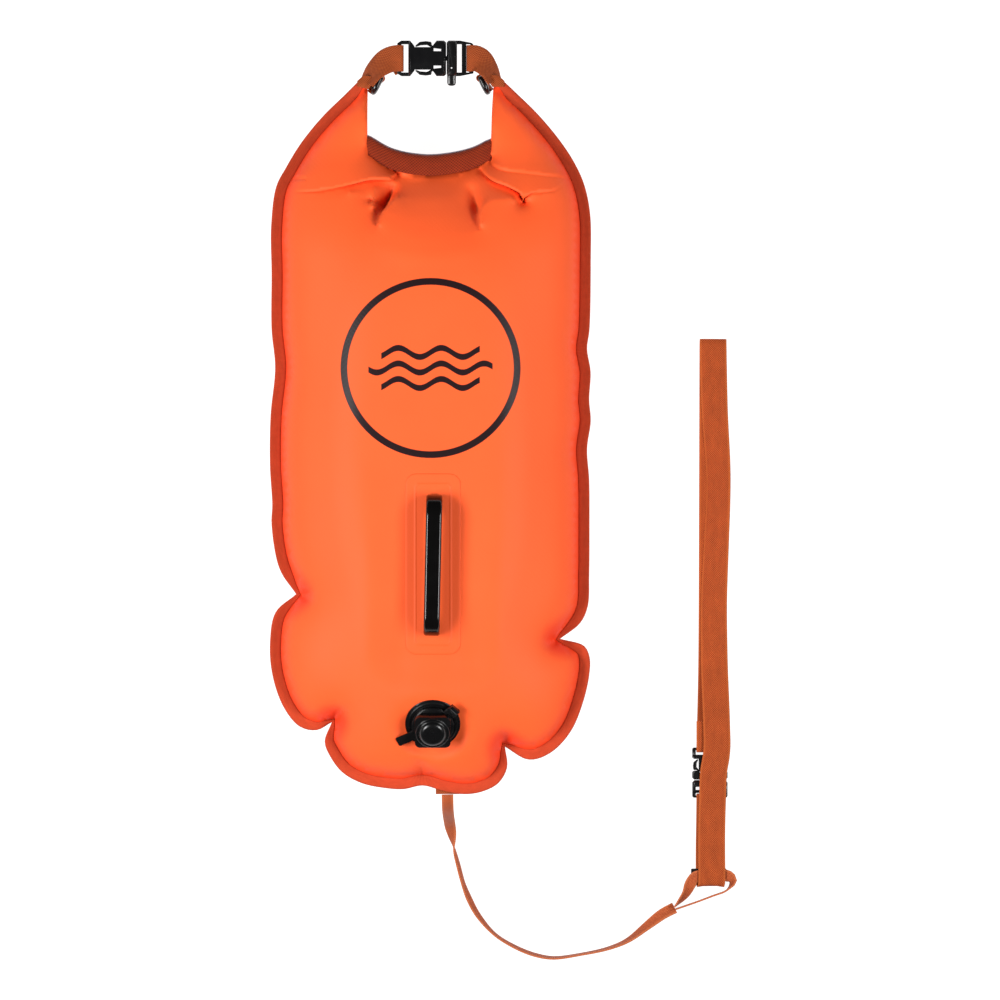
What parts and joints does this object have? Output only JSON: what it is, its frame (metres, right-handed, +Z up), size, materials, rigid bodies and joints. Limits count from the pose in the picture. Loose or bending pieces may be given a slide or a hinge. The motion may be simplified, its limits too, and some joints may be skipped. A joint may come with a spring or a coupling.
{
  "type": "open water swim buoy",
  "caption": "Inflatable roll-top tow bag with a twist valve, a grip handle, a side-release closure with D-rings, a webbing leash and a buckled waist belt.",
  "frame": {"origin": "middle of the bag's outline, on the flat of the back panel that rests on the surface", "axes": "+X across the bag to the right, +Y along the bag from the valve end to the closure buckle, +Z up out of the surface"},
  "size_m": [0.4396, 0.8647, 0.1727],
  "materials": {
    "orange_fabric": "coated orange bag fabric with a soft sheen",
    "rust_webbing": "ribbed burnt-orange binding tape and webbing",
    "tan_webbing": "narrow woven orange-brown webbing",
    "belt_webbing": "woven orange belt webbing with lighter dots",
    "black_plastic": "moulded black plastic with soft highlights",
    "valve_plastic": "smooth black valve plastic",
    "seal_rubber": "black sealing rubber"
  },
  "bodies": {
    "bag": {"front_panel": "orange_fabric", "back_panel": "orange_fabric", "edge_binding": "rust_webbing", "mouth_roll": "orange_fabric", "mouth_webbing": "rust_webbing", "left_closure_strap": "rust_webbing", "right_closure_strap": "rust_webbing", "buckle_female": "black_plastic", "buckle_male": "black_plastic", "left_ring_tab": "rust_webbing", "right_ring_tab": "rust_webbing", "handle_patch": "orange_fabric", "handle_grip": "black_plastic", "valve_flange": "valve_plastic", "valve_body": "valve_plastic", "valve_tether": "valve_plastic", "leash_anchor_tab": "rust_webbing", "leash": "tan_webbing", "leash_end_loop": "tan_webbing", "waist_belt": "belt_webbing", "belt_buckle_female": "black_plastic", "belt_buckle_male": "black_plastic"},
    "valve_knob": {"valve_knob": "valve_plastic"},
    "valve_poppet": {"valve_poppet": "valve_plastic", "valve_seal": "seal_rubber"},
    "left_ring": {"left_ring": "black_plastic"},
    "right_ring": {"right_ring": "black_plastic"},
    "buckle_arm_upper": {"buckle_arm_upper": "black_plastic"},
    "buckle_arm_lower": {"buckle_arm_lower": "black_plastic"},
    "belt_buckle_arm_upper": {"belt_buckle_arm_upper": "black_plastic"},
    "belt_buckle_arm_lower": {"belt_buckle_arm_lower": "black_plastic"},
    "belt_keeper": {"belt_keeper": "black_plastic"}
  },
  "joints": [
    {"name": "valve_knob_turn", "type": "hinge", "parent": "bag", "child": "valve_knob", "pos_m": [0.0024, -0.2867, 0.11725], "axis": [0, -0.5, 0.866], "range_deg": [0, 90]},
    {"name": "valve_poppet_lift", "type": "slide", "parent": "bag", "child": "valve_poppet", "axis": [0, 0.5, -0.866], "range_m": [0, 0.0026]},
    {"name": "left_ring_swing", "type": "hinge", "parent": "bag", "child": "left_ring", "pos_m": [-0.047, 0.3195, 0.03794], "axis": [0, 0, 1], "range_deg": [0, 60]},
    {"name": "right_ring_swing", "type": "hinge", "parent": "bag", "child": "right_ring", "pos_m": [0.047, 0.3195, 0.0377], "axis": [0, 0, 1], "range_deg": [-60, 0]},
    {"name": "buckle_latch_upper", "type": "hinge", "parent": "bag", "child": "buckle_arm_upper", "pos_m": [0.0149, 0.3473, 0.044], "axis": [0, 0, 1], "range_deg": [0, 8], "stiffness_Nm_per_rad": 0.02},
    {"name": "buckle_latch_lower", "type": "hinge", "parent": "bag", "child": "buckle_arm_lower", "pos_m": [0.0149, 0.3273, 0.044], "axis": [0, 0, 1], "range_deg": [-8, 0], "stiffness_Nm_per_rad": 0.02},
    {"name": "belt_latch_upper", "type": "hinge", "parent": "bag", "child": "belt_buckle_arm_upper", "pos_m": [0.2733, -0.342, 0.0058], "axis": [0, 0, 1], "range_deg": [0, 8], "stiffness_Nm_per_rad": 0.02},
    {"name": "belt_latch_lower", "type": "hinge", "parent": "bag", "child": "belt_buckle_arm_lower", "pos_m": [0.2533, -0.342, 0.0058], "axis": [0, 0, 1], "range_deg": [-8, 0], "stiffness_Nm_per_rad": 0.02},
    {"name": "belt_keeper_slide", "type": "slide", "parent": "bag", "child": "belt_keeper", "axis": [0, 1, 0], "range_m": [0, 0.026]}
  ],
  "couplings": [
    {"joint": "valve_poppet_lift", "follows": "valve_knob_turn", "m_per_rad": 0.00159}
  ]
}
